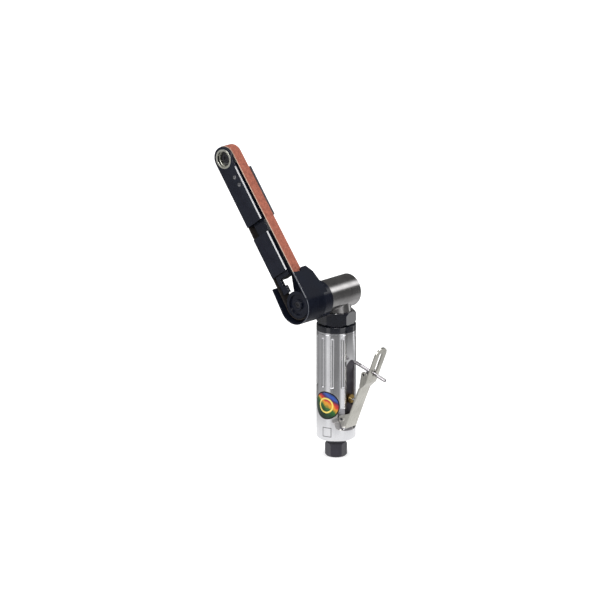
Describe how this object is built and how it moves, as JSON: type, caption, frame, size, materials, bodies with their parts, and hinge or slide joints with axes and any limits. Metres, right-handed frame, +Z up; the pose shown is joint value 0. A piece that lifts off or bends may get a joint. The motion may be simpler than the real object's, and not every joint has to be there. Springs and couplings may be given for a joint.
{
  "type": "power file",
  "caption": "Compressed-air belt file: fluted barrel handle with throttle lever, right-angle head clamped by a hex nut, guarded pulley and a sprung arm carrying a narrow abrasive belt.",
  "frame": {"origin": "on the barrel axis, at the mouth of the air inlet", "axes": "+Z up the barrel to the head, +X towards the throttle lever, +Y along the head to its closed end; the belt lies in a plane on the -Y side"},
  "size_m": [0.1897, 0.0912, 0.3438],
  "materials": {
    "polished_aluminium": "polished",
    "black_steel": "satin black",
    "gloss_black": "gloss black",
    "seal_rubber": "matte",
    "brass": "turned",
    "head_steel": "turned",
    "nickel": "nickel plated",
    "chrome": "polished",
    "arm_black": "black anodised, semi-gloss",
    "abrasive": "coated abrasive grain",
    "wheel_steel": "ground",
    "machined_steel": "machined",
    "bearing_steel": "ground",
    "spring_steel": "drawn wire",
    "bronze": "cast and faced",
    "vane_plastic": "matte"
  },
  "bodies": {
    "handle": {"barrel_housing": "polished_aluminium", "inlet_bushing": "black_steel", "inlet_seal": "seal_rubber", "inlet_screen": "machined_steel", "lock_ring": "gloss_black", "valve_bush": "brass", "valve_spring": "spring_steel", "lever_pin": "machined_steel", "rear_bearing": "bearing_steel", "rear_end_plate": "bronze", "motor_cylinder": "machined_steel", "front_end_plate": "bronze", "front_bearing": "bearing_steel", "spacer_sleeve": "machined_steel"},
    "nut": {"clamp_nut": "gloss_black"},
    "head": {"angle_head": "head_steel", "pinion_bearing": "bearing_steel", "head_cap": "head_steel", "spindle_rear_bearing": "bearing_steel", "spindle_front_bearing": "bearing_steel", "retaining_ring": "black_steel"},
    "rotor_group": {"rotor": "machined_steel", "rotor_vanes": "vane_plastic", "bevel_pinion": "machined_steel"},
    "spindle_group": {"spindle": "machined_steel", "bevel_gear": "machined_steel", "drive_pulley": "arm_black", "pulley_screw": "machined_steel"},
    "arm": {"belt_hub": "arm_black", "hub_clamp_screw": "machined_steel", "belt_guard": "arm_black", "guard_screws": "machined_steel", "lower_arm": "arm_black", "arm_screws": "machined_steel", "tension_spring": "spring_steel", "sanding_belt": "abrasive"},
    "bracket": {"idler_bracket": "arm_black", "idler_eye": "wheel_steel", "tracking_screws": "machined_steel", "idler_axle": "machined_steel", "axle_screw": "black_steel"},
    "idler": {"idler_wheel": "wheel_steel", "idler_bearings": "bearing_steel"},
    "lever": {"throttle_lever": "nickel", "lock_pin": "machined_steel", "lock_spring": "spring_steel"},
    "lock": {"lock_bar": "chrome"},
    "valve": {"valve_stem": "machined_steel", "valve_seal": "seal_rubber"}
  },
  "joints": [
    {"name": "head_swivel", "type": "hinge", "parent": "handle", "child": "head", "pos_m": [0, 0, 0.1841], "axis": [0, 0, 1], "range_deg": [-180, 180]},
    {"name": "nut_turn", "type": "hinge", "parent": "handle", "child": "nut", "pos_m": [0, 0, 0.158], "axis": [0, 0, 1], "range_deg": [0, 90]},
    {"name": "rotor_spin", "type": "hinge", "parent": "head", "child": "rotor_group", "pos_m": [0, 0, 0.12], "axis": [0, 0, 1], "continuous": true},
    {"name": "spindle_spin", "type": "hinge", "parent": "head", "child": "spindle_group", "pos_m": [0, 0, 0.1841], "axis": [0, 1, 0], "continuous": true},
    {"name": "arm_swivel", "type": "hinge", "parent": "head", "child": "arm", "pos_m": [0, 0, 0.1841], "axis": [0, 1, 0], "range_deg": [-54, 125]},
    {"name": "tension_slide", "type": "slide", "parent": "arm", "child": "bracket", "axis": [-0.5821, 0, 0.8131], "range_m": [-0.012, 0], "stiffness_N_per_m": 2500, "springref_m": 0.004, "deforming": ["tension_spring"]},
    {"name": "idler_spin", "type": "hinge", "parent": "bracket", "child": "idler", "pos_m": [-0.10433, 0, 0.32982], "axis": [0, 1, 0], "continuous": true},
    {"name": "lever_press", "type": "hinge", "parent": "handle", "child": "lever", "pos_m": [0.0153, 0, 0.0457], "axis": [0, 1, 0], "range_deg": [-8, 0], "stiffness_Nm_per_rad": 4, "springref_deg": 8.59},
    {"name": "lock_tilt", "type": "hinge", "parent": "lever", "child": "lock", "pos_m": [0.04658, 0, 0.1023], "axis": [0, 1, 0], "range_deg": [-60, 0]},
    {"name": "valve_slide", "type": "slide", "parent": "handle", "child": "valve", "axis": [1, 0, 0], "range_m": [-0.0038, 0], "deforming": ["valve_spring"]}
  ],
  "couplings": [
    {"joint": "spindle_spin", "follows": "rotor_spin", "ratio": 0.76923},
    {"joint": "idler_spin", "follows": "rotor_spin", "ratio": 0.93914},
    {"joint": "lock_tilt", "follows": "lever_press", "ratio": 7.5},
    {"joint": "valve_slide", "follows": "lever_press", "m_per_rad": 0.0272}
  ]
}
